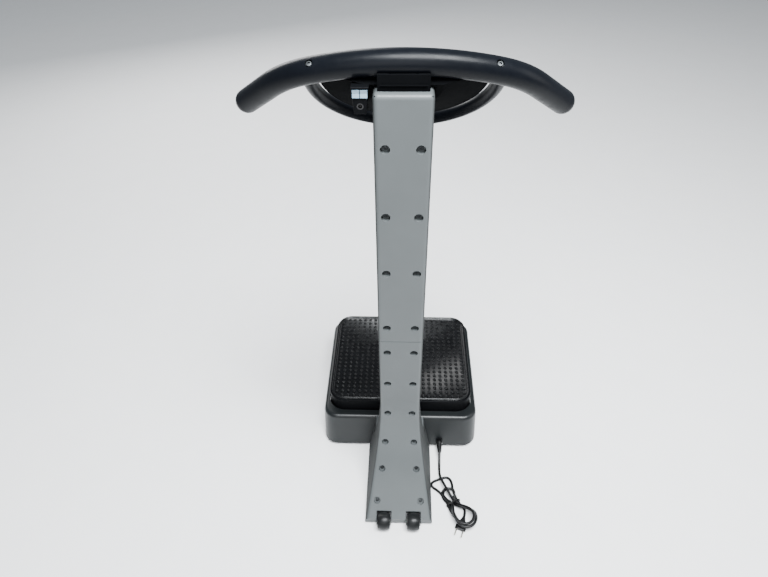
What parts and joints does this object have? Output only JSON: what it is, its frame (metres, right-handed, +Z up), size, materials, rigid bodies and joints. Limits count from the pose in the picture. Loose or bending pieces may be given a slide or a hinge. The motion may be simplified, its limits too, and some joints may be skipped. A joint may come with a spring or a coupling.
{
  "type": "vibration plate",
  "caption": "Gym vibration plate: studded platform that rocks on a motor base, mast with flared tail and transport wheels, curved handlebar and console.",
  "frame": {"origin": "on the floor, under the middle of the machine's footprint, with the mains cord left out", "axes": "+X to the right seen from behind the mast, +Y from the tail towards the user, +Z up"},
  "size_m": [0.6358, 0.7203, 1.2115],
  "materials": {
    "silver_plastic": "satin metallic paint on plastic",
    "zinc_steel": "zinc plated",
    "black_steel": "powder coated",
    "grey_plastic": "semi-gloss moulded",
    "black_rubber": "matt",
    "wheel_plastic": "satin",
    "black_plastic": "fine texture",
    "deck_wood": "fibre board",
    "bronze": "sintered",
    "bare_steel": "ground",
    "cast_alloy": "cast",
    "cast_iron": "cast",
    "board_green": "solder mask",
    "grip_foam": "satin",
    "console_face": "gloss",
    "display_glass": "tinted",
    "display_dark": "display",
    "key_green": "satin",
    "key_red": "satin",
    "key_grey": "satin",
    "rocker_white": "satin",
    "jack_plastic": "gloss",
    "cord_black": "soft PVC",
    "tie_black": "satin",
    "brass_nickel": "nickel plated"
  },
  "bodies": {
    "frame": {"base_cover": "grey_plastic", "base_frame": "black_steel", "bearing_blocks": "cast_iron", "bottom_plate": "black_steel", "console_board": "board_green", "console_front": "console_face", "console_rear": "black_plastic", "control_board": "board_green", "control_box": "black_plastic", "cord_hank": "cord_black", "cord_ties": "tie_black", "cover_screws": "zinc_steel", "display_lens": "display_glass", "display_panel": "display_dark", "drive_belt": "black_rubber", "front_cover_lower": "silver_plastic", "front_cover_upper": "silver_plastic", "grip_loop": "grip_foam", "handlebar_core": "bare_steel", "handlebar_grip": "grip_foam", "handlebar_screws": "zinc_steel", "jack_socket": "jack_plastic", "mast_bolts": "zinc_steel", "mast_tube": "black_steel", "motor": "cast_alloy", "motor_cradle": "black_steel", "pivot_brackets": "black_steel", "pivot_pins": "zinc_steel", "plug": "cord_black", "plug_pins": "brass_nickel", "power_cord": "cord_black", "rear_cover_lower": "silver_plastic", "rear_cover_upper": "silver_plastic", "rubber_feet": "black_rubber", "shaft_bearings": "bare_steel", "strain_relief": "cord_black", "switch_box": "black_plastic", "tail_bracket": "zinc_steel", "wheel_forks": "black_steel", "wheel_pins": "zinc_steel"},
    "platform": {"platform_cover": "black_plastic", "platform_mat": "black_rubber", "deck_board": "deck_wood", "platform_frame": "black_steel", "rod_pins": "zinc_steel", "pivot_bushes": "bronze"},
    "drive": {"drive_shaft": "bare_steel", "drive_pulley": "cast_alloy"},
    "motor_rotor": {"motor_shaft": "bare_steel", "motor_pulley": "cast_alloy"},
    "rod_left": {"connecting_rod_left": "cast_alloy"},
    "rod_right": {"connecting_rod_right": "cast_alloy"},
    "left_wheel": {"wheel_left": "wheel_plastic"},
    "right_wheel": {"wheel_right": "wheel_plastic"},
    "start_key": {"key_start": "key_green"},
    "stop_key": {"key_stop": "key_red"},
    "speed_down_key": {"key_speed_down": "key_grey"},
    "speed_up_key": {"key_speed_up": "key_grey"},
    "left_rocker": {"rocker_left": "rocker_white"},
    "right_rocker": {"rocker_right": "rocker_white"}
  },
  "joints": [
    {"name": "platform_tilt", "type": "hinge", "parent": "frame", "child": "platform", "pos_m": [0, 0.156, 0.095], "axis": [0, 1, 0], "range_deg": [-1.5, 1.5]},
    {"name": "drive_spin", "type": "hinge", "parent": "frame", "child": "drive", "pos_m": [0, 0.215, 0.062], "axis": [1, 0, 0], "continuous": true},
    {"name": "motor_spin", "type": "hinge", "parent": "frame", "child": "motor_rotor", "pos_m": [0, 0.085, 0.062], "axis": [1, 0, 0], "continuous": true},
    {"name": "rod_left_swing", "type": "hinge", "parent": "drive", "child": "rod_left", "pos_m": [-0.128, 0.215, 0.059], "axis": [1, 0, 0], "continuous": true},
    {"name": "rod_right_swing", "type": "hinge", "parent": "drive", "child": "rod_right", "pos_m": [0.128, 0.215, 0.065], "axis": [1, 0, 0], "continuous": true},
    {"name": "wheel_left_spin", "type": "hinge", "parent": "frame", "child": "left_wheel", "pos_m": [-0.04, -0.332, 0.025], "axis": [1, 0, 0], "continuous": true},
    {"name": "wheel_right_spin", "type": "hinge", "parent": "frame", "child": "right_wheel", "pos_m": [0.04, -0.332, 0.025], "axis": [1, 0, 0], "continuous": true},
    {"name": "key_start_press", "type": "slide", "parent": "frame", "child": "start_key", "axis": [0, -0.766, -0.6428], "range_m": [0, 0.001], "stiffness_N_per_m": 600, "springref_m": -0.0008},
    {"name": "key_stop_press", "type": "slide", "parent": "frame", "child": "stop_key", "axis": [0, -0.766, -0.6428], "range_m": [0, 0.001], "stiffness_N_per_m": 600, "springref_m": -0.0008},
    {"name": "key_speed_down_press", "type": "slide", "parent": "frame", "child": "speed_down_key", "axis": [0, -0.766, -0.6428], "range_m": [0, 0.001], "stiffness_N_per_m": 600, "springref_m": -0.0008},
    {"name": "key_speed_up_press", "type": "slide", "parent": "frame", "child": "speed_up_key", "axis": [0, -0.766, -0.6428], "range_m": [0, 0.001], "stiffness_N_per_m": 600, "springref_m": -0.0008},
    {"name": "rocker_left_rock", "type": "hinge", "parent": "frame", "child": "left_rocker", "pos_m": [-0.0799, -0.144, 1.146], "axis": [1, 0, 0], "range_deg": [-8, 8]},
    {"name": "rocker_right_rock", "type": "hinge", "parent": "frame", "child": "right_rocker", "pos_m": [-0.0665, -0.144, 1.146], "axis": [1, 0, 0], "range_deg": [-8, 8]}
  ],
  "couplings": [
    {"joint": "motor_spin", "follows": "drive_spin", "ratio": 2.5},
    {"joint": "rod_left_swing", "follows": "drive_spin", "ratio": -1},
    {"joint": "rod_right_swing", "follows": "drive_spin", "ratio": -1}
  ]
}
